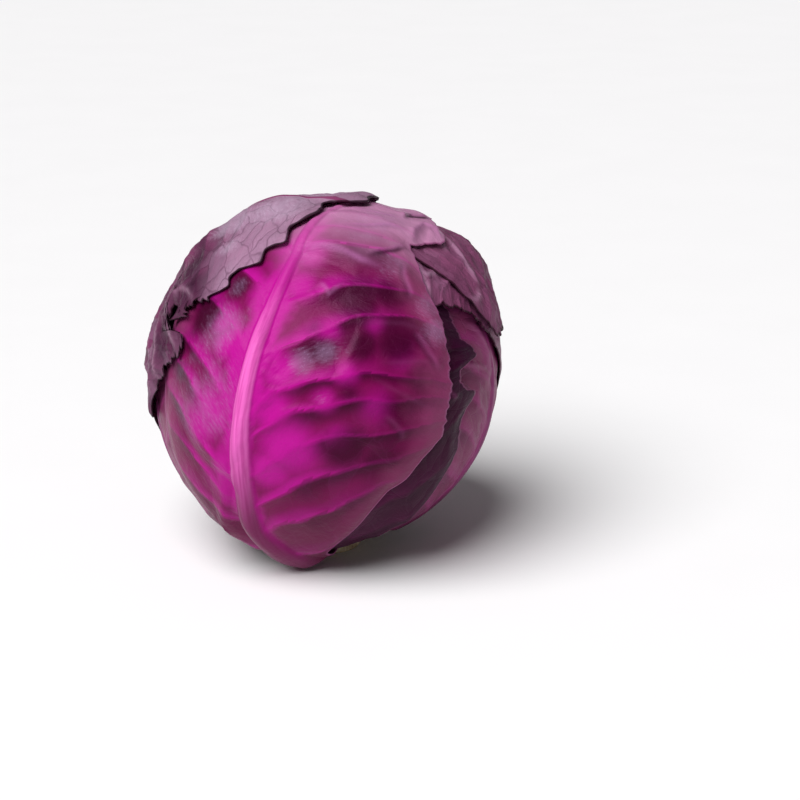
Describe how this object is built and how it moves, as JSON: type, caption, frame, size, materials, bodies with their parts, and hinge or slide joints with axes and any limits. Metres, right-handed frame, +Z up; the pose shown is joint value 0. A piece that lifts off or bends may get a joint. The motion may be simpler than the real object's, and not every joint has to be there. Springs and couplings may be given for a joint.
{
  "type": "cabbage head",
  "caption": "Whole red cabbage head: broad ribbed wrapper leaves with waved edges folded over a dense heart, resting on the flat cut end of its stalk.",
  "frame": {"origin": "centre of the stalk's flat cut face, which the head rests on", "axes": "+Z up along the stalk; -Y towards the front, where the broadest midrib runs up the front leaf"},
  "size_m": [0.1511, 0.153, 0.1538],
  "materials": {
    "leaf_front": "smooth waxy leaf, vivid magenta along the ribs and dark purple between the veins",
    "leaf_outer": "outermost leaf, grey lavender bloom over dull purple with a pale vein network",
    "leaf_side": "waxy mauve purple leaf with pale fold lines",
    "heart": "tightly folded inner leaves, dull purple",
    "stalk": "cut cream stalk, fibrous, slightly browned at its rim"
  },
  "bodies": {
    "root": {"stalk": "stalk", "heart": "heart", "wrapper_leaf_back": "leaf_side", "wrapper_leaf_right": "leaf_side", "wrapper_leaf_left": "leaf_side", "wrapper_leaf_under_front": "leaf_side", "wrapper_leaf_right_back": "leaf_side", "wrapper_leaf_back_right": "leaf_outer", "wrapper_leaf_front": "leaf_front", "wrapper_leaf_back_left": "leaf_outer"}
  },
  "joints": []
}
